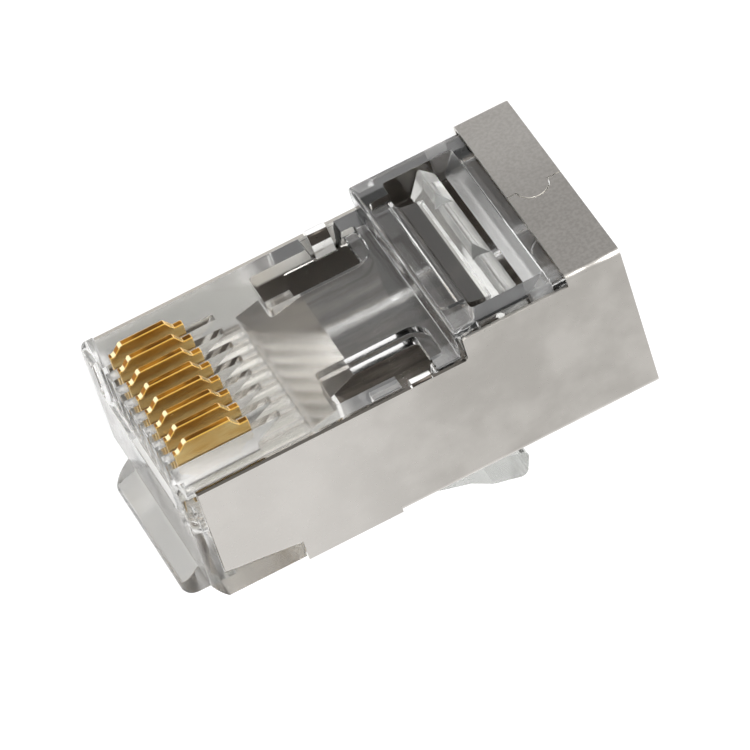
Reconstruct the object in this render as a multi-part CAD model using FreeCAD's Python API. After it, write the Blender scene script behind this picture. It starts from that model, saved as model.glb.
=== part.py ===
import FreeCAD, Part
import math
import os

# A shielded eight-contact modular plug, as supplied, before it is crimped onto a cable.
# Sizes are in mm.  Each piece is drawn square to the plug's own body: X runs from the front
# face to the cable entry, Y across the plug and Z from the latch side to the contact side.
# X = 0 is the front face and Z = 0 the underside of the shield.  lay_down() then turns the
# whole plug onto its +Y side plate, the largest flat face, on which a loose plug lies still.

# Overall envelope
plug_width = 11.68
plug_length = 21.40
rail_height = 6.45
hood_height = 7.95
hood_front = 13.45
entry_inset = 0.15

# Roundings of the moulding
corner_round = 0.40
edge_round = 0.28
hood_round = 0.32
chin_height = 0.95
chin_depth = 0.55
face_recess = 0.30
face_recess_width = 8.60
face_recess_floor = 4.40
face_recess_round = 0.60

# Sheet metal of the shield
sheet = 0.20
sheet_fit = 0.04
shield_front = 0.75
side_low_top = 6.37
side_high_top = 7.55
side_step = 13.70
side_step_round = 0.18
collar_length = 2.60
fold_round = 0.32
floor_front = 8.90
notch_length = 4.35
notch_front_height = 1.65
notch_rear_height = 1.15

# Ears of the side plates, bent over the rails and down into saddles cut in them
ear_front = 11.03
ear_length = 0.94
ear_root = 1.00
ear_lean = 0.08
ear_lean_length = 0.65
ear_rise = 0.35
ear_slope = 0.56
ear_slope_drop = 1.05
ear_lip = 0.35
ear_fold = 0.15
ear_gap = 0.10
saddle_flare = 0.30

# Joint line on the collar, with its locking tongue
seam_gap = 0.06
seam_offset = 0.12
tongue_radius = 0.75
tongue_from_rear = 1.38

# Pockets beside the centre land
pocket_front = 7.85
pocket_rear = 13.00
pocket_inner = 2.45
pocket_outer = 4.75
pocket_round = 0.20
pocket_rear_round = 0.90
ledge_width = 0.28
ledge_rear = 0.55
ledge_depth = 0.35

# Cable cavity, its tapered throat and the wire bores
cavity_width = 10.00
cavity_floor = 0.85
cavity_front = 9.40
cavity_round = 0.80
roof_thick = 0.85
hood_roof_thick = 1.25
throat_front = 6.60
throat_floor = 2.95
throat_roof = 4.30
throat_width = 8.30
bore_diameter = 0.94
bore_level = 3.60
bore_front = 0.60
groove_rear = 9.00

# Contacts and their slots
contact_count = 8
contact_pitch = 1.02
contact_thick = 0.32
contact_fit = 0.03
contact_end_fit = 0.06
contact_front = 0.75
contact_length = 3.52
contact_top = 7.50
contact_height = 3.40
front_step_length = 0.20
front_step_drop = 0.42
crown_front = 0.60
crown_rear = 2.75
rear_step_front = 3.10
rear_step_drop = 0.48
crown_round = 0.10
tooth_count = 3
tooth_height = 0.85
tooth_width = 0.60
crimp_travel = 0.95
slot_mouth_floor = 4.60
slot_rear = 5.65
slot_rear_floor = 4.90

# Window over the strain relief, its rim and the fixed clamping ramp
window_front = 14.75
window_rear = 18.15
window_width = 9.40
window_round = 0.15
rim_recess_front = 13.68
rim_recess_width = 7.90
rim_recess_depth = 0.40
rim_recess_round = 0.30
ramp_toe = 0.60
ramp_toe_height = 6.55
ramp_crest_height = 7.85
ramp_root = 0.20
ejector_radius = 0.95
ejector_depth = 0.06
ejector_from_window = 1.05
ejector_spacing = 7.30

# Strain relief bar, hinged on a thin web at the front of the window
bar_width = 9.20
bar_toe = 1.00
bar_crest = 1.70
bar_back = 2.35
bar_toe_height = 6.55
bar_crest_height = 7.85
bar_back_height = 7.20
bar_heel_height = 6.30
bar_belly_height = 6.05
bar_belly = 1.40
bar_round = 0.08
web_thick = 0.30
web_width = 7.20
web_height = 7.12
web_landing_rise = 0.30
knuckle_radius = 0.25
knuckle_fit = 0.03
bite_width = 0.90
bite_depth = 0.55
bite_overcut = 0.11
bite_spacing = 3.87
bite_offset = 0.48

# Nose block under the front face, and the latch that springs from it
nose_width = 7.90
nose_reach = 1.05
nose_drop = 0.60
nose_top = 0.80
nose_round = 0.35
nose_corner = 0.80
nose_slope = 0.15
latch_root = 1.35
latch_root_drop = 0.12
latch_knuckle = 0.46
latch_knuckle_fit = 0.03
latch_angle = 16.5
latch_reach = 15.15
latch_width = 3.25
latch_back = 0.08
latch_belly = 0.95
latch_belly_at = 12.40
pad_depth = 1.30
pad_front = 13.50
tip_round = 0.35
pad_round = 0.20
shoulder_width = 6.10
shoulder_at = 7.90
shoulder_round = 0.25

# Worked out from the sizes above
half_width = plug_width / 2
core_half = half_width - sheet - sheet_fit
core_floor = sheet + sheet_fit
entry = plug_length - entry_inset
collar_front = plug_length - collar_length
collar_top = hood_height + sheet_fit + sheet
roof_level = rail_height - roof_thick
hood_roof_level = hood_height - hood_roof_thick
latch_root_height = -latch_root_drop
overrun = 1.0


def vec(x, y, z):
    return FreeCAD.Vector(x, y, z)


def outline(corners, place):
    """Closed wire through corners (a, b, radius); place turns (a, b) into a point in space."""
    count = len(corners)
    points = [place(a, b) for a, b, radius in corners]
    joins = []
    for i in range(count):
        radius = corners[i][2]
        here = points[i]
        if radius <= 0:
            joins.append((here, None, here))
            continue
        back = (points[i - 1] - here).normalize()
        ahead = (points[(i + 1) % count] - here).normalize()
        half_angle = back.getAngle(ahead) / 2
        reach = radius / math.tan(half_angle)
        middle = (back + ahead).normalize()
        centre = here + middle * (radius / math.sin(half_angle))
        joins.append((here + back * reach, centre - middle * radius, here + ahead * reach))
    edges = []
    for i in range(count):
        start, middle, end = joins[i]
        if middle is not None:
            edges.append(Part.Arc(start, middle, end).toShape())
        following = joins[(i + 1) % count][0]
        if (following - end).Length > 1e-6:
            edges.append(Part.LineSegment(end, following).toShape())
    return Part.Wire(edges)


def plate_xz(corners, y_from, y_to):
    wire = outline(corners, lambda x, z: vec(x, y_from, z))
    return Part.Face(wire).extrude(vec(0, y_to - y_from, 0))


def plate_xy(corners, z_from, z_to):
    wire = outline(corners, lambda x, y: vec(x, y, z_from))
    return Part.Face(wire).extrude(vec(0, 0, z_to - z_from))


def plate_yz(corners, x_from, x_to):
    wire = outline(corners, lambda y, z: vec(x_from, y, z))
    return Part.Face(wire).extrude(vec(x_to - x_from, 0, 0))


def block(x_from, x_to, y_from, y_to, z_from, z_to):
    return Part.makeBox(x_to - x_from, y_to - y_from, z_to - z_from, vec(x_from, y_from, z_from))


def bar_round_y(radius, x, z, length):
    """Round bar of this length along Y, centred on the plug's middle plane."""
    return Part.makeCylinder(radius, length, vec(x, -length / 2, z), vec(0, 1, 0))


def both_sides(shape):
    return shape.fuse(shape.mirror(vec(0, 0, 0), vec(0, 1, 0)))


def contact_places():
    """Y of each contact's middle plane, from one side of the plug to the other."""
    first = -contact_pitch * (contact_count - 1) / 2
    return [first + contact_pitch * i for i in range(contact_count)]


# Housing, outside

def front_body():
    """Full-width front with the shoulders that the shield's side plates butt against."""
    shoulder = shield_front - sheet_fit
    notch_rear = notch_length - sheet_fit
    side = plate_xz([
        (0, chin_height, 0),
        (chin_depth, core_floor, 0),
        (notch_rear, core_floor, 0),
        (notch_rear, notch_rear_height - sheet_fit, 0),
        (shoulder, notch_front_height - sheet_fit, 0),
        (shoulder, rail_height, 0),
        (0, rail_height, edge_round),
    ], -half_width, half_width)
    plan = plate_xy([
        (0, -half_width, corner_round),
        (entry, -half_width, 0),
        (entry, half_width, 0),
        (0, half_width, corner_round),
    ], 0, rail_height)
    return side.common(plan)


def core_body():
    """The narrower length of the housing that lies between the shield's side plates."""
    return plate_xz([
        (corner_round, chin_height, 0),
        (chin_depth, core_floor, 0),
        (entry, core_floor, 0),
        (entry, rail_height, 0),
        (corner_round, rail_height, 0),
    ], -core_half, core_half)


def hood():
    across = plate_yz([
        (-core_half, core_floor, 0),
        (core_half, core_floor, 0),
        (core_half, hood_height, hood_round),
        (-core_half, hood_height, hood_round),
    ], hood_front, entry)
    along = plate_xz([
        (hood_front, core_floor, 0),
        (entry, core_floor, 0),
        (entry, hood_height, 0),
        (hood_front, hood_height, edge_round),
    ], -core_half, core_half)
    return across.common(along)


def nose():
    """Rounded block under the front face that carries the latch's root."""
    side = plate_xz([
        (latch_root, -nose_drop, 0),
        (latch_root, nose_top, 0),
        (0, nose_top, 0),
        (nose_slope - nose_reach, 0, nose_round),
        (-nose_reach, -nose_drop, nose_round),
    ], -nose_width / 2, nose_width / 2)
    plan = plate_xy([
        (-nose_reach, -nose_width / 2, nose_corner),
        (latch_root, -nose_width / 2, 0),
        (latch_root, nose_width / 2, 0),
        (-nose_reach, nose_width / 2, nose_corner),
    ], -nose_drop, nose_top)
    return side.common(plan)


# Housing, inside

def cable_cavity():
    across = plate_yz([
        (-cavity_width / 2, cavity_floor, cavity_round),
        (cavity_width / 2, cavity_floor, cavity_round),
        (cavity_width / 2, hood_roof_level, cavity_round),
        (-cavity_width / 2, hood_roof_level, cavity_round),
    ], cavity_front, entry + overrun)
    along = plate_xz([
        (cavity_front, cavity_floor, 0),
        (entry + overrun, cavity_floor, 0),
        (entry + overrun, hood_roof_level, 0),
        (window_front, hood_roof_level, 0),
        (window_front, roof_level, 0),
        (cavity_front, roof_level, 0),
    ], -cavity_width / 2, cavity_width / 2)
    return across.common(along)


def throat():
    """Tapered passage that gathers the wires from the cavity into the bores."""
    def opening(x, width, low, high):
        return outline([
            (-width / 2, low, 0),
            (width / 2, low, 0),
            (width / 2, high, 0),
            (-width / 2, high, 0),
        ], lambda y, z: vec(x, y, z))
    narrow = opening(throat_front, throat_width, throat_floor, throat_roof)
    wide = opening(cavity_front, cavity_width - 2 * cavity_round, cavity_floor, roof_level)
    return Part.makeLoft([narrow, wide], True)


def wire_bore(y):
    """Blind bore for one wire, running on as an open groove up the throat's floor."""
    radius = bore_diameter / 2
    straight = Part.makeCylinder(radius, throat_front - bore_front + radius,
                                 vec(bore_front, y, bore_level), vec(1, 0, 0))
    rise = throat_floor - cavity_floor
    run = cavity_front - throat_front
    slope = vec(run, 0, -rise).normalize()
    groove = Part.makeCylinder(radius, (groove_rear - throat_front) / slope.x,
                               vec(throat_front, y, throat_floor + radius / 2), slope)
    return straight.fuse(groove)


def contact_slot(y):
    """Slot for one contact: deep under the blade, open to the top and the front face."""
    low = contact_top - contact_height - crimp_travel - contact_end_fit
    front = contact_front - contact_end_fit
    rear = contact_front + contact_length + contact_end_fit
    half = contact_thick / 2 + contact_fit
    above = rail_height + overrun
    return plate_xz([
        (-overrun, slot_mouth_floor, 0),
        (front, slot_mouth_floor, 0),
        (front, low, 0),
        (rear, low, 0),
        (rear, slot_rear_floor, 0),
        (slot_rear, rail_height, 0),
        (slot_rear, above, 0),
        (-overrun, above, 0),
    ], y - half, y + half)


def face_relief():
    """Shallow relief in the front face, where the jack's springs come down."""
    half = face_recess_width / 2
    return plate_yz([
        (-half, face_recess_floor, face_recess_round),
        (half, face_recess_floor, face_recess_round),
        (half, rail_height + overrun, 0),
        (-half, rail_height + overrun, 0),
    ], -overrun, face_recess)


def pocket():
    """Well through the roof beside the centre land, with a ledge round its inner and rear sides."""
    well = plate_xy([
        (pocket_front, pocket_inner + ledge_width, pocket_round),
        (pocket_rear - ledge_rear, pocket_inner + ledge_width, pocket_round),
        (pocket_rear - ledge_rear, pocket_outer, pocket_round),
        (pocket_front, pocket_outer, pocket_round),
    ], roof_level - roof_thick, rail_height + overrun)
    ledge = plate_xy([
        (pocket_front, pocket_inner, pocket_round),
        (pocket_rear, pocket_inner, pocket_rear_round),
        (pocket_rear, pocket_outer, pocket_round),
        (pocket_front, pocket_outer, pocket_round),
    ], rail_height - ledge_depth, rail_height + overrun)
    return well.fuse(ledge)


def ear_path():
    """Middle line of one ear's sheet in Y and Z, from the side plate over the crest to the lip."""
    plate = half_width - sheet / 2
    crest = plate - ear_lean
    crest_height = rail_height + ear_rise
    foot = crest - ear_slope
    foot_height = crest_height - ear_slope_drop
    return [
        (plate, rail_height - ear_root, 0),
        (plate, crest_height - ear_lean_length, ear_fold),
        (crest, crest_height, ear_fold),
        (foot, foot_height, ear_fold),
        (foot, foot_height - ear_lip, 0),
    ]


def saddle():
    """Flared cut across the rail, sloping clear of the ear that is bent down into it."""
    crest, foot = ear_path()[2:4]
    run = vec(crest[0] - foot[0], crest[1] - foot[1], 0).normalize()
    clear = sheet / 2 + ear_gap
    steepness = run.y / run.x
    low = foot[1] - ear_lip - ear_gap
    above = rail_height + overrun
    back = foot[0] + clear
    turn = foot[1] - run.x * clear + (back - foot[0] - run.y * clear) * steepness
    across = plate_yz([
        (pocket_outer, low, 0),
        (back, low, 0),
        (back, turn, 0),
        (back + (above - turn) / steepness, above, 0),
        (pocket_outer, above, 0),
    ], ear_front - overrun, ear_front + ear_length + overrun)
    front = ear_front - ear_gap
    rear = ear_front + ear_length + ear_gap
    along = plate_xz([
        (front, low, 0),
        (rear, low, 0),
        (rear + saddle_flare, rail_height, 0),
        (rear + saddle_flare, above, 0),
        (front - saddle_flare, above, 0),
        (front - saddle_flare, rail_height, 0),
    ], 0, plug_width)
    return across.common(along)


def window():
    half = window_width / 2
    opening = plate_xy([
        (window_front, -half, window_round),
        (window_rear, -half, window_round),
        (window_rear, half, window_round),
        (window_front, half, window_round),
    ], hood_roof_level - cavity_round, hood_height + overrun)
    rim_half = rim_recess_width / 2
    rim = plate_xy([
        (rim_recess_front, -rim_half, rim_recess_round),
        (window_front + rim_recess_round, -rim_half, 0),
        (window_front + rim_recess_round, rim_half, 0),
        (rim_recess_front, rim_half, rim_recess_round),
    ], hood_height - rim_recess_depth, hood_height + overrun)
    return opening.fuse(rim)


def clamping_ramp():
    """Fixed sloping jaw along the window's rear edge, facing the strain relief bar."""
    return plate_xz([
        (window_rear - ramp_toe, ramp_toe_height, 0),
        (window_rear - ramp_toe, ramp_toe_height + sheet, 0),
        (window_rear, ramp_crest_height, 0),
        (window_rear + ramp_root, ramp_crest_height, 0),
        (window_rear + ramp_root, ramp_toe_height, 0),
    ], -window_width / 2, window_width / 2)


def ejector_marks():
    x = window_rear + ejector_from_window
    mark = Part.makeCylinder(ejector_radius, ejector_depth + overrun,
                             vec(x, ejector_spacing / 2, hood_height - ejector_depth))
    return both_sides(mark)


def housing():
    solid = front_body().fuse([core_body(), hood(), nose()])
    removed = [cable_cavity(), throat(), face_relief(), window(), ejector_marks()]
    removed += [both_sides(pocket()), both_sides(saddle())]
    for y in contact_places():
        removed.append(wire_bore(y))
        removed.append(contact_slot(y))
    seat_width = shoulder_width + 2 * contact_end_fit
    seat_radius = latch_knuckle + latch_knuckle_fit
    removed.append(bar_round_y(seat_radius, latch_root, latch_root_height, seat_width))
    solid = solid.cut(removed)
    solid = solid.fuse(clamping_ramp())
    seat_width = web_width + 2 * contact_end_fit
    web_seat = bar_round_y(knuckle_radius + knuckle_fit, window_front, web_height, seat_width)
    return solid.cut(web_seat).removeSplitter()


# Pieces that move

def latch_point(u, w):
    """Point u along the latch from its root and w above its middle line, at rest."""
    turn = math.radians(latch_angle)
    x = latch_root + u * math.cos(turn) + w * math.sin(turn)
    z = latch_root_height - u * math.sin(turn) + w * math.cos(turn)
    return x, z


def latch_lever():
    def beam(corners, width):
        placed = [latch_point(u, w) + (radius,) for u, w, radius in corners]
        return plate_xz(placed, -width / 2, width / 2)
    finger = beam([
        (0, latch_back, 0),
        (latch_reach, latch_back, tip_round),
        (latch_reach, -pad_depth, tip_round),
        (pad_front, -pad_depth, pad_round),
        (latch_belly_at, -latch_belly, pad_round),
        (0, -latch_knuckle, 0),
    ], latch_width)
    shoulders = beam([
        (0, latch_back, 0),
        (shoulder_at, latch_back, shoulder_round),
        (shoulder_at, -latch_knuckle, 0),
        (0, -latch_knuckle, 0),
    ], shoulder_width)
    knuckle = bar_round_y(latch_knuckle, latch_root, latch_root_height, shoulder_width)
    return finger.fuse([shoulders, knuckle]).removeSplitter()


def strain_relief_bar():
    """Ridged bar with two bites in its crest, on the web that it folds down by."""
    ridge = plate_xz([
        (window_front + bar_toe, bar_toe_height, bar_round),
        (window_front + bar_crest, bar_crest_height, bar_round),
        (window_front + bar_back, bar_back_height, bar_round),
        (window_front + bar_back, bar_heel_height, bar_round),
        (window_front + bar_belly, bar_belly_height, bar_round),
    ], -bar_width / 2, bar_width / 2)
    half_web = web_thick / 2
    landing = window_front + bar_belly
    landing_height = bar_toe_height + web_landing_rise
    web = plate_xz([
        (window_front, web_height - half_web, 0),
        (landing, landing_height - half_web, 0),
        (landing, landing_height + half_web, 0),
        (window_front, web_height + half_web, 0),
    ], -web_width / 2, web_width / 2)
    knuckle = bar_round_y(knuckle_radius, window_front, web_height, web_width)
    bar = ridge.fuse([web, knuckle])
    half_bite = bite_width / 2 * (1 + bite_overcut / bite_depth)
    for side in (-1, 1):
        y = bite_offset + side * bite_spacing / 2
        bite = plate_yz([
            (y, bar_crest_height - bite_depth, 0),
            (y + half_bite, bar_crest_height + bite_overcut, 0),
            (y - half_bite, bar_crest_height + bite_overcut, 0),
        ], window_front + bar_toe, window_front + bar_back + overrun)
        bar = bar.cut(bite)
    return bar.removeSplitter()


def contact(y):
    """Flat blade with a raised crown for the jack's spring and teeth that pierce the wire."""
    corners = [
        (0, -front_step_drop, 0),
        (front_step_length, -front_step_drop, 0),
        (crown_front, 0, crown_round),
        (crown_rear, 0, crown_round),
        (rear_step_front, -rear_step_drop, 0),
        (contact_length, -rear_step_drop, 0),
    ]
    gum = tooth_height - contact_height
    spacing = contact_length / tooth_count
    corners.append((contact_length, gum, 0))
    for i in reversed(range(tooth_count)):
        middle = spacing * (i + 0.5)
        corners.append((middle + tooth_width / 2, gum, 0))
        corners.append((middle, -contact_height, 0))
        corners.append((middle - tooth_width / 2, gum, 0))
    corners.append((0, gum, 0))
    placed = [(contact_front + a, contact_top + b, radius) for a, b, radius in corners]
    return plate_xz(placed, y - contact_thick / 2, y + contact_thick / 2)


# Shield

def folded(path, thickness):
    """Corners of bent sheet of this thickness, laid off to both sides of its middle line."""
    left, right = [], []
    half = thickness / 2
    for i, (a, b, radius) in enumerate(path):
        here = vec(a, b, 0)
        before = vec(path[i - 1][0], path[i - 1][1], 0) if i > 0 else None
        after = vec(path[i + 1][0], path[i + 1][1], 0) if i + 1 < len(path) else None
        ahead = (after - here).normalize() if after else (here - before).normalize()
        behind = (here - before).normalize() if before else ahead
        across = vec(-behind.y - ahead.y, behind.x + ahead.x, 0) * (half / (1 + behind.dot(ahead)))
        bend = half if behind.cross(ahead).z > 0 else -half
        left.append((a + across.x, b + across.y, radius - bend if radius else 0))
        right.append((a - across.x, b - across.y, radius + bend if radius else 0))
    return left + right[::-1]


def shield_ear():
    return plate_yz(folded(ear_path(), sheet), ear_front, ear_front + ear_length)


def collar_seam():
    """Joint line where the two ends of the strip meet on top, round a locking tongue."""
    low = collar_top - 2 * sheet
    high = collar_top + overrun
    tongue = plug_length - tongue_from_rear
    half = seam_gap / 2
    outer = Part.makeCylinder(tongue_radius + half, high - low, vec(tongue, seam_offset, low))
    inner = Part.makeCylinder(tongue_radius - half, high - low, vec(tongue, seam_offset, low))
    reach = tongue_radius + overrun
    far = block(tongue - reach, tongue + reach, seam_offset + half, seam_offset + reach, low, high)
    ring = outer.cut([inner, far])

    def straight(x_from, x_to):
        return block(x_from, x_to, seam_offset - half, seam_offset + half, low, high)
    rear = straight(tongue + tongue_radius - half, plug_length + overrun)
    front = straight(collar_front - overrun, tongue - tongue_radius + half)
    return ring.fuse([rear, front])


def shield():
    """Folded strip: floor and two side plates, with ears in front and a closed collar behind."""
    def wrap(inset, x_from, x_to):
        radius = fold_round - inset
        side = half_width - inset
        return plate_yz([
            (-side, inset, radius),
            (side, inset, radius),
            (side, collar_top - inset, radius),
            (-side, collar_top - inset, radius),
        ], x_from, x_to)
    tube = wrap(0, shield_front, plug_length)
    tube = tube.cut(wrap(sheet, shield_front - overrun, plug_length + overrun))
    above = plate_xz([
        (-overrun, side_low_top, 0),
        (side_step, side_low_top, side_step_round),
        (side_step, side_high_top, side_step_round),
        (collar_front, side_high_top, 0),
        (collar_front, collar_top + overrun, 0),
        (-overrun, collar_top + overrun, 0),
    ], -plug_width, plug_width)
    below = block(-overrun, floor_front, -plug_width, plug_width, -overrun, fold_round)
    skirt = both_sides(block(notch_length, floor_front, half_width - sheet, half_width, 0, fold_round))
    notch = plate_xz([
        (-overrun, -overrun, 0),
        (notch_length, -overrun, 0),
        (notch_length, notch_rear_height, 0),
        (shield_front, notch_front_height, 0),
        (-overrun, notch_front_height, 0),
    ], -plug_width, plug_width)
    solid = tube.cut([above, below]).fuse(skirt)
    solid = solid.fuse(both_sides(shield_ear()))
    return solid.cut([notch, collar_seam()]).removeSplitter()


# Resting place

def lay_down(pieces):
    """Turns every piece with the plug onto its +Y side, contacts towards -Y, base centred."""
    for shape in pieces.values():
        shape.rotate(vec(0, 0, 0), vec(1, 0, 0), -90)
        shape.rotate(vec(0, 0, 0), vec(0, 0, 1), 180)
    box = Part.makeCompound(list(pieces.values())).optimalBoundingBox(False, False)
    shift = vec(-(box.XMin + box.XMax) / 2, -(box.YMin + box.YMax) / 2, -box.ZMin)
    for shape in pieces.values():
        shape.translate(shift)
    print("shift", round(shift.x, 5), round(shift.y, 5), round(shift.z, 5))
    return pieces


def build():
    pieces = {
        "housing": housing(),
        "shield": shield(),
        "latch_lever": latch_lever(),
        "strain_relief_bar": strain_relief_bar(),
    }
    for number, y in enumerate(contact_places(), 1):
        pieces["contact_" + str(number)] = contact(y)
    return lay_down(pieces)


def export(pieces):
    os.makedirs("parts", exist_ok=True)
    for name, shape in pieces.items():
        solid = shape.Solids[0] if len(shape.Solids) == 1 else shape
        volume = round(shape.Volume, 3)
        print(name, "solids", len(shape.Solids), "volume", volume, "valid", shape.isValid())
        solid.exportStep(os.path.join("parts", name + ".step"))


export(build())
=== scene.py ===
import bpy
import math
from mathutils import Matrix, Vector


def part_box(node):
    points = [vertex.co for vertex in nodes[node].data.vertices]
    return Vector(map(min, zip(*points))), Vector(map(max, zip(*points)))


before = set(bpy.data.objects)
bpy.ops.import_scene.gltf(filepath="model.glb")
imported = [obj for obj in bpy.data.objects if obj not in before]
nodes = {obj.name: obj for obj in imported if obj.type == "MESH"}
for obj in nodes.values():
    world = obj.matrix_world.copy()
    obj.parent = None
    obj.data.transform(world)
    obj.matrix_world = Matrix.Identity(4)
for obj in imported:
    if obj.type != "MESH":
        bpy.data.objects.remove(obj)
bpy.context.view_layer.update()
bpy.ops.object.select_all(action="DESELECT")
print("frame loaded with", len(nodes), "pieces")

mm = 0.001
shieldLow, shieldHigh = [Vector(corner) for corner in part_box("shield")]
barLow = Vector(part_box("strain_relief_bar")[0])
firstBlade, lastBlade = [[Vector(corner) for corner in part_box("contact_" + end)] for end in ("1", "8")]
cableEnd, contactSide = shieldLow.x, shieldLow.y
middle = (shieldLow + shieldHigh) / 2


class Strand:  # one output of a shader node, used like a number
    def __init__(self, finish, socket):
        self.finish = finish
        self.socket = socket

    def joined(self, operation, first, second):
        return self.finish.node("ShaderNodeMath", {"operation": operation}, [first, second])

    def __add__(self, other):
        return self.joined("ADD", self, other)

    def __radd__(self, other):
        return self.joined("ADD", other, self)

    def __sub__(self, other):
        return self.joined("SUBTRACT", self, other)

    def __rsub__(self, other):
        return self.joined("SUBTRACT", other, self)

    def __mul__(self, other):
        return self.joined("MULTIPLY", self, other)

    def __rmul__(self, other):
        return self.joined("MULTIPLY", other, self)

    def __truediv__(self, other):
        return self.joined("DIVIDE", self, other)

    def __rtruediv__(self, other):
        return self.joined("DIVIDE", other, self)

    def __abs__(self):
        return self.finish.node("ShaderNodeMath", {"operation": "ABSOLUTE"}, [self])

    def above(self, edge, soft):  # 0 below the edge and 1 above it; soft is half the width of the step
        return self.finish.node("ShaderNodeMapRange", {"interpolation_type": "SMOOTHSTEP"}, {
            "Value": self, "From Min": edge - soft, "From Max": edge + soft, "To Min": 0.0, "To Max": 1.0})

    def below(self, edge, soft):
        return 1 - self.above(edge, soft)

    def within(self, low, high, soft):
        return self.above(low, soft) * self.below(high, soft)


contactFaceEdge = (0.8, 0.1)


class Finish:  # the node tree of a material, or of the world
    def __init__(self, name, owner=None):
        self.block = owner or bpy.data.materials.new(name)
        self.block.use_nodes = True
        self.tree = self.block.node_tree
        self.tree.nodes.clear()

    def node(self, kind, settings=None, values=None, output=0):
        made = self.tree.nodes.new(kind)
        for name, value in (settings or {}).items():
            if name == "stops":
                for element, (place, level) in zip(made.color_ramp.elements, value):
                    element.position = place
                    element.color = (level, level, level, 1)
            else:
                setattr(made, name, value)
        pairs = values.items() if isinstance(values, dict) else enumerate(values or [])
        for name, value in pairs:
            if isinstance(value, Strand):
                self.tree.links.new(value.socket, made.inputs[name])
            else:
                made.inputs[name].default_value = value
        return Strand(self, made.outputs[output])

    def places(self):
        return self.node("ShaderNodeTexCoord", output="Object")

    def place(self, axis):
        return self.node("ShaderNodeSeparateXYZ", None, [self.places()], axis)

    def along(self):  # from the cable end towards the nose
        return self.place(0) - cableEnd

    def depth(self):  # from the contact side towards the latch
        return self.place(1) - contactSide

    def across(self):  # from the middle towards the side plate that lies on top
        return self.place(2) - middle.z

    def facing(self, axis):
        normal = self.node("ShaderNodeTexCoord", output="Normal")
        return self.node("ShaderNodeSeparateXYZ", None, [normal], axis)

    def facesContacts(self):  # 1 on flat faces that look out of the contact side
        return (0 - self.facing(1)).above(*contactFaceEdge)

    def noise(self, size, detail=2.0, roughness=0.5, stretch=(1, 1, 1)):
        scaled = self.node("ShaderNodeMapping", None, {"Vector": self.places(), "Scale": stretch})
        return self.node("ShaderNodeTexNoise", None, {
            "Vector": scaled, "Scale": 1 / size, "Detail": detail, "Roughness": roughness})

    def blended(self, factor, first, second):
        return self.node("ShaderNodeMix", {"data_type": "RGBA"}, {0: factor, 6: first, 7: second}, 2)

    def bump(self, height, strength, distance):
        return self.node("ShaderNodeBump", None, {
            "Strength": strength, "Distance": distance, "Height": height})

    def principled(self, values):
        return self.node("ShaderNodeBsdfPrincipled", None, values)

    def output(self, surface, kind="ShaderNodeOutputMaterial"):
        end = self.tree.nodes.new(kind)
        self.tree.links.new(surface.socket, end.inputs["Surface"])
        return self.block

    def clearOutput(self, plastic, level):  # lamp light passes straight through, dimmed to a level
        through = self.node("ShaderNodeBsdfTransparent", None, {"Color": (level, level, level, 1)})
        shadow = self.node("ShaderNodeLightPath", output="Is Shadow Ray")
        return self.output(self.node("ShaderNodeMixShader", None, [shadow, plastic, through]))


def colour(red, green, blue):  # from the 0 to 255 levels of a colour picker
    def linear(level):
        level = level / 255
        return level / 12.92 if level <= 0.04045 else ((level + 0.055) / 1.055) ** 2.4
    return (linear(red), linear(green), linear(blue), 1)


def towards(azimuth, elevation):  # the direction from the plug to a camera or lamp
    turn, rise = math.radians(azimuth), math.radians(elevation)
    return Vector((math.sin(turn) * math.cos(rise), -math.cos(turn) * math.cos(rise), math.sin(rise)))


view = {"azimuth": 11.54, "elevation": 45.38, "roll": 144.99, "distance": 0.34824,
        "lens": 386.0, "aim": (-0.00068, -0.00064, 0.00535)}


def addCamera():
    bpy.ops.object.camera_add()
    camera = bpy.context.object
    camera.name = "camera"
    back = towards(view["azimuth"], view["elevation"])
    facing = (-back).to_track_quat("-Z", "Y").to_matrix()
    spin = Matrix.Rotation(math.radians(view["roll"]), 3, back)
    place = Vector(view["aim"]) + back * view["distance"]
    camera.matrix_world = Matrix.Translation(place) @ (spin @ facing).to_4x4()
    camera.data.lens = view["lens"]
    camera.data.clip_start = 0.01
    camera.data.clip_end = 10
    bpy.context.scene.camera = camera
    bpy.context.scene.view_settings.view_transform = "Standard"


addCamera()
print("camera placed")


# Clear moulding. An Edge is a place and its softness, and a Span is from where, to where, and how soft.
clearLook = {
    "tint": colour(247, 247, 246), "index": 1.46, "roughness": 0.03, "shadowLevel": 0.86,
    "ripple": 1.6 * mm, "swirl": 0.5 * mm, "swirlStretch": (0.4, 1, 1), "swirlShare": 0.22,
    "bump": 0.3, "rippleDepth": 0.02 * mm, "haze": 0.6 * mm, "hazeRoughness": 0.05,
    "front": colour(245, 243, 239), "frontEdge": (12.2 * mm, 0.8 * mm), "frontRoughness": 0.12,
    "nose": colour(188, 187, 184), "noseEdge": (20.7 * mm, 0.3 * mm), "noseDepthEdge": (4.6 * mm, 0.5 * mm),
    "rampFrom": 3.2 * mm, "rampToBar": 0.1 * mm, "rampDepth": (0.26 * mm, 1.66 * mm), "rampSoft": 0.02 * mm,
    "rampRoughness": 0.45,
    "sheenEdge": (4.5 * mm, 0.095 * mm), "sheenSpan": (2.6 * mm, 13.6 * mm, 0.6 * mm), "sheenLeast": 0.6,
    "sheenHaze": 0.6, "coatRoughness": 0.2, "coatIndex": 2.0,
    "bevel": {"width": 0.035 * mm, "segments": 2, "angle": 50, "clamp": False},
}


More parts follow.
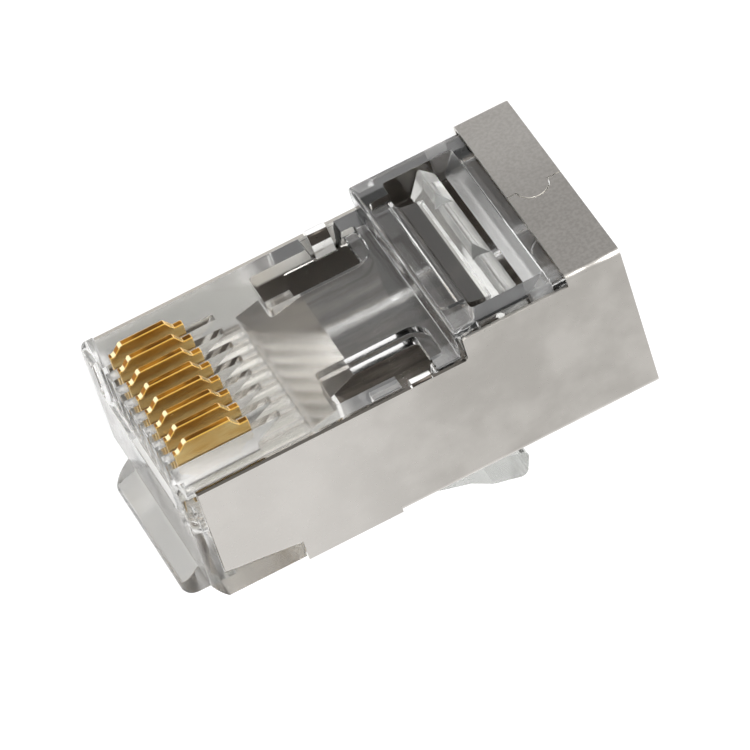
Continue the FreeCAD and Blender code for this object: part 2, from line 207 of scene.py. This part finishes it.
def clearPlastic():
    look = clearLook
    finish = Finish("clearPlastic")
    along, depth, across = finish.along(), finish.depth(), finish.across()
    swirl = finish.noise(look["swirl"], 3, 0.6, look["swirlStretch"])
    ripple = finish.noise(look["ripple"], 2) + swirl * look["swirlShare"]
    haze = finish.noise(look["haze"], 3)
    ramp = along.within(look["rampFrom"], barLow.x - cableEnd - look["rampToBar"], look["rampSoft"])
    ramp = ramp * depth.within(*look["rampDepth"], look["rampSoft"])
    nose = along.above(*look["noseEdge"])
    low = depth.above(*look["noseDepthEdge"])
    front = along.above(*look["frontEdge"]) * (1 - nose * (1 - low))
    sheen = abs(across).above(*look["sheenEdge"]) * along.within(*look["sheenSpan"])
    tint = finish.blended(front, look["tint"], look["front"])
    return finish.clearOutput(finish.principled({
        "Base Color": finish.blended(nose * low, tint, look["nose"]),
        "Roughness": look["roughness"] + haze * look["hazeRoughness"] + ramp * look["rampRoughness"]
        + front * look["frontRoughness"],
        "IOR": look["index"],
        "Transmission Weight": 1.0,
        "Coat Weight": sheen * finish.facesContacts() * (look["sheenLeast"] + haze * look["sheenHaze"]),
        "Coat Roughness": look["coatRoughness"],
        "Coat IOR": look["coatIndex"],
        "Normal": finish.bump(ripple, look["bump"], look["rippleDepth"]),
    }), look["shadowLevel"])


# Hazier moulding, with painted shade on the bar's web and on the facets of the bites in its crest.
latchLook = {
    "tint": colour(200, 201, 198), "index": 1.46, "transmission": 0.9, "shadowLevel": 0.75,
    "roughness": 0.1, "grainRoughness": 0.06, "grain": 0.9 * mm, "grainStretch": (1, 1, 0.35),
    "bump": 0.35, "grainDepth": 0.003 * mm,
}
barLook = {
    "tint": colour(244, 244, 241), "index": 1.5, "transmission": 0.88, "shadowLevel": 0.75,
    "roughness": 0.06, "grainRoughness": 0.14, "grain": 0.25 * mm, "grainStretch": (1, 1, 0.35),
    "bump": 0.35, "grainDepth": 0.02 * mm,
    # the web's colour is painted shade, standing in for the dark inside seen through the clear web
    "web": colour(94, 89, 83), "webEdge": (1.38 * mm, 0.02 * mm), "webSmooth": 0.7,
    # the bite colour is painted shade on the facets of the bites
    "bite": colour(146, 147, 145), "bites": (-2.415 * mm, 1.455 * mm), "biteHalf": 0.5 * mm,
    "biteSoft": 0.02 * mm, "biteFacing": (0.1, 0.95, 0.05),
}


def hazyPlastic(name, look):
    finish = Finish(name)
    grain = finish.noise(look["grain"], 3, 0.6, look["grainStretch"])
    tint, height = look["tint"], grain
    if look is barLook:
        # painted shade on the web
        web = (finish.place(0) - barLow.x).above(*look["webEdge"])
        # facets picked by the way they face, painted darker as painted shade
        cut = (finish.facing(2) * finish.facing(2)).within(*look["biteFacing"])
        near = [finish.across().within(bite - look["biteHalf"], bite + look["biteHalf"], look["biteSoft"])
                for bite in look["bites"]]
        tint = finish.blended(web, look["tint"], look["web"])
        tint = finish.blended(cut * (near[0] + near[1]), tint, look["bite"])
        height = grain * (1 - web * look["webSmooth"])
    return finish.clearOutput(finish.principled({
        "Base Color": tint,
        "Roughness": look["roughness"] + grain * look["grainRoughness"],
        "IOR": look["index"],
        "Transmission Weight": look["transmission"],
        "Normal": finish.bump(height, look["bump"], look["grainDepth"]),
    }), look["shadowLevel"])


# Nickel-plated sheet. A Facing is read from the normal's part along one axis, squared for the side plates.
platedLook = {
    "pale": colour(212, 208, 202), "dull": colour(190, 186, 180), "cloud": 2.6 * mm, "cloudEdge": (0.5, 0.16),
    "mottle": 0.55 * mm, "mottleShare": 0.25, "grain": 0.16 * mm, "roughness": 0.3, "grainRoughness": 0.16,
    "bump": 0.15, "grainDepth": 0.01 * mm,
    # the sheet is painted lighter towards the front, as painted light
    "front": colour(240, 236, 231), "frontEdge": (2 * mm, 5 * mm), "frontShare": 0.62,
    # the collar strip is the same sheet painted darker, as painted shade, with random mottle and grain; its
    # far side is painted lighter, as painted light
    "collarPale": colour(166, 163, 159), "collarDull": colour(122, 119, 115),
    "collarEdge": (2.62 * mm, 0.01 * mm), "collarMottle": 0.25,
    "collarGrain": 0.22, "collarGrainEdge": (0.5, 0.15), "collarRoughness": 0.12,
    "collarFar": 0.4, "collarFarEdge": (-1.2 * mm, 3.2 * mm),
    # cut edges are darker as bare metal; painted shade darkens the top plate's edges further, and the lower
    # plate's edges are painted lighter as painted light
    "cut": colour(92, 88, 83), "cutFar": colour(176, 172, 166),  # the sheet's cut edges along the rails
    "cutSpan": (1.8 * mm, 1.825 * mm, 0.004 * mm), "cutSharp": (0.5, 0.1), "nearEdge": (0, 0.1 * mm),
    "flatFacing": (0.93, 0.03), "sideFacing": (0.6, 0.2), "insideEdge": (-0.4 * mm, 0.2 * mm),
    # the inner faces are the same metal, painted darker as painted shade and painted dark reflection
    "inside": colour(150, 143, 136), "insideDull": colour(84, 78, 72), "insideRoughness": 0.1,
    "side": colour(192, 185, 177), "sideDull": colour(126, 119, 111),  # inside of the side plates, painted shade
    "rolled": 0.9 * mm, "rolledStretch": (0.12, 1, 1), "rolledEdge": (0.5, 0.14), "rolledShare": 0.7,
    # painted light on the inner faces near the rails; painted shade in the pockets and under the hood
    "rail": colour(252, 250, 246), "railEdge": (2.9 * mm, 0.1 * mm), "railRoughness": 0.25,
    "pocket": colour(116, 110, 104), "pocketEdge": (5.0 * mm, 0.4 * mm),
    "hood": colour(94, 88, 81), "hoodEdge": (7.9 * mm, 0.1 * mm),
    # the ears carry a near-white painted highlight on their bends and lips and a painted dark reflection on
    # their leaning slopes
    "earPale": colour(252, 251, 248), "earDark": colour(70, 65, 60), "earBend": (2.12 * mm, 0.02 * mm),
    "earSpan": (9.4 * mm, 10.44 * mm, 0.01 * mm), "earDepth": (1.2 * mm, 2.85 * mm, 0.02 * mm),
    "earFacing": (0.08, 0.78, 0.03),
    # the seam's walls carry a painted highlight
    "seam": colour(252, 250, 246), "seamSpan": (0.05 * mm, 2.57 * mm, 0.01 * mm),
    "seamAcross": (-1.6 * mm, 1.6 * mm, 0.01 * mm), "seamEdge": (0.25 * mm, 0.02 * mm),
    "bevel": {"width": 0.03 * mm, "segments": 1, "angle": 50, "clamp": True},
}


def insideTone(finish, look, mottle, sideways, atRail, atHood):  # painted shade on the sheet's inner faces seen through the clear moulding, painted light at the rails
    rolled = finish.noise(look["rolled"], 3, 0.6, look["rolledStretch"]).above(*look["rolledEdge"])
    streaks = rolled * look["rolledShare"] + mottle * (1 - look["rolledShare"])
    sideTone = finish.blended(rolled, look["sideDull"], look["side"])
    sideTone = finish.blended(finish.depth().below(*look["pocketEdge"]), sideTone, look["pocket"])
    sideTone = finish.blended(atRail, sideTone, look["rail"])
    sideTone = finish.blended(atHood, sideTone, look["hood"])
    sheetTone = finish.blended(streaks, look["insideDull"], look["inside"])
    return finish.blended(sideways.above(*look["sideFacing"]), sheetTone, sideTone)


def platedSheet():
    look = platedLook
    finish = Finish("platedSheet")
    along, depth, across = finish.along(), finish.depth(), finish.across()
    cloud = finish.noise(look["cloud"], 3)
    mottle = finish.noise(look["mottle"], 4, 0.6)
    grain = finish.noise(look["grain"], 3)
    contactFace = finish.facesContacts()
    sideways = finish.facing(2) * finish.facing(2)
    flat = sideways.above(*look["flatFacing"])
    outward = finish.facing(1) * (finish.place(1) - middle.y) + finish.facing(2) * across
    inside = outward.below(*look["insideEdge"])

    cloudy = cloud.above(*look["cloudEdge"]) * (1 - look["mottleShare"]) + mottle * look["mottleShare"]
    tone = finish.blended(cloudy, look["dull"], look["pale"])
    # painted light: the sheet turns lighter towards the front
    towardsFront = (finish.place(0) - middle.x).above(*look["frontEdge"])
    tone = finish.blended(towardsFront * look["frontShare"], tone, look["front"])

    # painted shade on the collar strip
    collar = along.below(*look["collarEdge"]) * contactFace
    worn = mottle * look["collarMottle"] + grain.above(*look["collarGrainEdge"]) * look["collarGrain"]
    # painted light towards the collar's far side
    worn = worn + across.below(*look["collarFarEdge"]) * look["collarFar"]
    tone = finish.blended(collar, tone, finish.blended(worn, look["collarDull"], look["collarPale"]))

    # painted shade on the top plate's cut edges, painted light on the lower plate's
    cutEdge = (depth.within(*look["cutSpan"]) * contactFace).above(*look["cutSharp"])
    cutTone = finish.blended(across.above(*look["nearEdge"]), look["cutFar"], look["cut"])
    tone = finish.blended(cutEdge, tone, cutTone)

    # inner faces get painted shade, with painted light near the rails
    atHood = along.below(*look["hoodEdge"])
    atRail = depth.below(*look["railEdge"]) * (1 - atHood)
    tone = finish.blended(inside, tone, insideTone(finish, look, mottle, sideways, atRail, atHood))

    # painted highlight on the ears, with painted dark reflection on the leaning slopes
    ear = along.within(*look["earSpan"]) * depth.within(*look["earDepth"]) * (1 - flat * (1 - inside))
    lean = (0 - finish.facing(1)).within(*look["earFacing"]) * depth.below(*look["earBend"])
    tone = finish.blended(ear, tone, finish.blended(lean, look["earPale"], look["earDark"]))

    # painted highlight along the collar's seam
    seam = along.within(*look["seamSpan"]) * across.within(*look["seamAcross"])
    seam = seam * depth.below(*look["seamEdge"]) * (1 - contactFace)
    return finish.output(finish.principled({
        "Base Color": finish.blended(seam, tone, look["seam"]),
        "Metallic": 1.0,
        "Roughness": look["roughness"] + (grain - 0.5) * look["grainRoughness"]
        + collar * look["collarRoughness"]
        + inside * flat * (look["insideRoughness"] + atRail * look["railRoughness"]),
        "Normal": finish.bump(grain, look["bump"], look["grainDepth"]),
    }))


# Gold-plated blades, with painted shade on their crowns and front slopes and painted highlights along their
# rims and at their bends.
goldLook = {
    "bright": colour(255, 228, 165), "deep": colour(236, 190, 112), "streakEdge": (0.5, 0.3),
    "streak": 0.45 * mm, "streakStretch": (0.3, 1, 1), "bump": 0.2, "streakDepth": 0.01 * mm,
    "roughness": 0.2, "streakRoughness": 0.1, "topFacing": (0.3, 0.1),
    # the front slopes and the crowns are painted darker, as painted shade, picked by the way they face
    "slope": colour(156, 102, 30), "slopeFacing": (0.3, 0.1),
    "crown": colour(92, 58, 14), "crownStreak": colour(158, 106, 32), "crownEdge": (0.52, 0.12),
    "crownFacing": (0.93, 0.04),
    # painted highlights along the crowns' rims and at the bends
    "rim": colour(230, 190, 92), "rimWidth": 0.03 * mm, "rimSoft": 0.012 * mm,
    "bend": colour(255, 240, 190), "bends": (0.2 * mm, 0.6 * mm),  # places of painted highlights, measured back from the blade's front
    "bendHalf": 0.09 * mm, "bendSoft": 0.03 * mm,
    "bevel": {"width": 0.045 * mm, "segments": 2, "angle": 40, "clamp": False},
}
bladePitch = (lastBlade[0].z - firstBlade[0].z) / 7  # eight blades have seven gaps
bladeHalf = (firstBlade[1].z - firstBlade[0].z) / 2


def goldPlate():
    look = goldLook
    finish = Finish("goldPlate")
    streak = finish.noise(look["streak"], 3, 0.6, look["streakStretch"])
    up = 0 - finish.facing(1)
    top = up.above(*look["topFacing"])
    turns = (finish.place(2) - (firstBlade[0].z + bladeHalf)) / bladePitch
    fromMiddle = finish.node("ShaderNodeMath", {"operation": "PINGPONG"}, [turns, 0.5]) * abs(bladePitch)
    fromFront = firstBlade[1].x - finish.place(0)
    tone = finish.blended(streak.above(*look["streakEdge"]), look["deep"], look["bright"])
    # painted shade on the front slopes and the crowns
    tone = finish.blended(top * finish.facing(0).above(*look["slopeFacing"]), tone, look["slope"])
    crown = finish.blended(streak.above(*look["crownEdge"]), look["crown"], look["crownStreak"])
    tone = finish.blended(up.above(*look["crownFacing"]), tone, crown)
    # painted highlight along each crown's rims
    rim = top * fromMiddle.above(bladeHalf - look["rimWidth"], look["rimSoft"])
    tone = finish.blended(rim, tone, look["rim"])
    # painted highlights across the crowns at the bends
    for bend in look["bends"]:
        lit = fromFront.within(bend - look["bendHalf"], bend + look["bendHalf"], look["bendSoft"])
        tone = finish.blended(top * lit, tone, look["bend"])
    return finish.output(finish.principled({
        "Base Color": tone,
        "Metallic": 1.0,
        "Roughness": look["roughness"] + streak * look["streakRoughness"],
        "Normal": finish.bump(streak, look["bump"], look["streakDepth"]),
    }))


weldGap = 0.0001 * mm


def bevelled(piece, look):
    joined = piece.modifiers.new("joined", "WELD")  # the frame's mesh is loose triangles
    joined.merge_threshold = weldGap
    rounded = piece.modifiers.new("softEdges", "BEVEL")
    rounded.width = look["width"]
    rounded.segments = look["segments"]
    rounded.limit_method = "ANGLE"
    rounded.angle_limit = math.radians(look["angle"])
    rounded.use_clamp_overlap = look["clamp"]
    rounded.loop_slide = look["clamp"]


dressing = [("housing", clearPlastic(), clearLook),
            ("latch_lever", hazyPlastic("latchPlastic", latchLook), latchLook),
            ("strain_relief_bar", hazyPlastic("barPlastic", barLook), barLook),
            ("shield", platedSheet(), platedLook),
            ("contact", goldPlate(), goldLook)]
for name, piece in nodes.items():
    for start, material, look in dressing:
        if name.startswith(start):
            piece.data.materials.clear()
            piece.data.materials.append(material)
            if "bevel" in look:
                bevelled(piece, look["bevel"])
print("finishes set")


studio = {"floorSize": 3.0, "floorTone": 0.45, "floorGlow": 0.68, "sky": 0.72, "horizon": 1.0}


def seenDirectly(finish):  # 1 for rays from the camera, or by way of metal or clear plastic
    seen = [finish.node("ShaderNodeLightPath", output=kind) for kind in
            ("Is Camera Ray", "Is Glossy Ray", "Is Transmission Ray")]
    return finish.node("ShaderNodeMath", {"operation": "MINIMUM"}, [seen[0] + seen[1] + seen[2], 1.0])


def addFloor():
    bpy.ops.mesh.primitive_plane_add(size=studio["floorSize"])
    floor = bpy.context.object
    floor.name = "floor"
    finish = Finish("paleFloor")
    tone, glow = studio["floorTone"], studio["floorGlow"]
    matt = finish.node("ShaderNodeBsdfDiffuse", None, {"Color": (tone, tone, tone, 1)})
    shone = finish.blended(seenDirectly(finish), (0, 0, 0, 1), (glow, glow, glow, 1))
    shine = finish.node("ShaderNodeEmission", None, {"Color": shone, "Strength": 1.0})
    floor.data.materials.append(finish.output(finish.node("ShaderNodeAddShader", None, [matt, shine])))


def addSurroundings():
    world = bpy.data.worlds.new("softRoom")
    bpy.context.scene.world = world
    finish = Finish("softRoom", world)
    way = finish.node("ShaderNodeTexCoord", output="Generated")
    height = finish.node("ShaderNodeSeparateXYZ", None, [way], 2)
    stops = [(0.0, studio["horizon"]), (1.0, studio["sky"])]
    tone = finish.node("ShaderNodeValToRGB", {"stops": stops}, [height])
    camera = finish.node("ShaderNodeLightPath", output="Is Camera Ray")
    room = finish.node("ShaderNodeBackground", None, {
        "Color": finish.blended(camera, tone, (1, 1, 1, 1)), "Strength": 1.0})
    finish.output(room, "ShaderNodeOutputWorld")


lamps = {
    "frontSoftLight": {"azimuth": -60, "elevation": 40, "distance": 0.25, "size": 0.16, "power": 0.35},
    "edgeLight": {"azimuth": 22, "elevation": 52, "distance": 0.3, "size": 0.09, "power": 0.24},
}


def addLamps():
    for name, lamp in lamps.items():
        back = towards(lamp["azimuth"], lamp["elevation"])
        bpy.ops.object.light_add(type="AREA", location=back * lamp["distance"])
        light = bpy.context.object
        light.name = name
        light.rotation_euler = (-back).to_track_quat("-Z", "Y").to_euler()
        light.data.size = lamp["size"]
        light.data.energy = lamp["power"]


addFloor()
addSurroundings()
addLamps()
print("studio set")
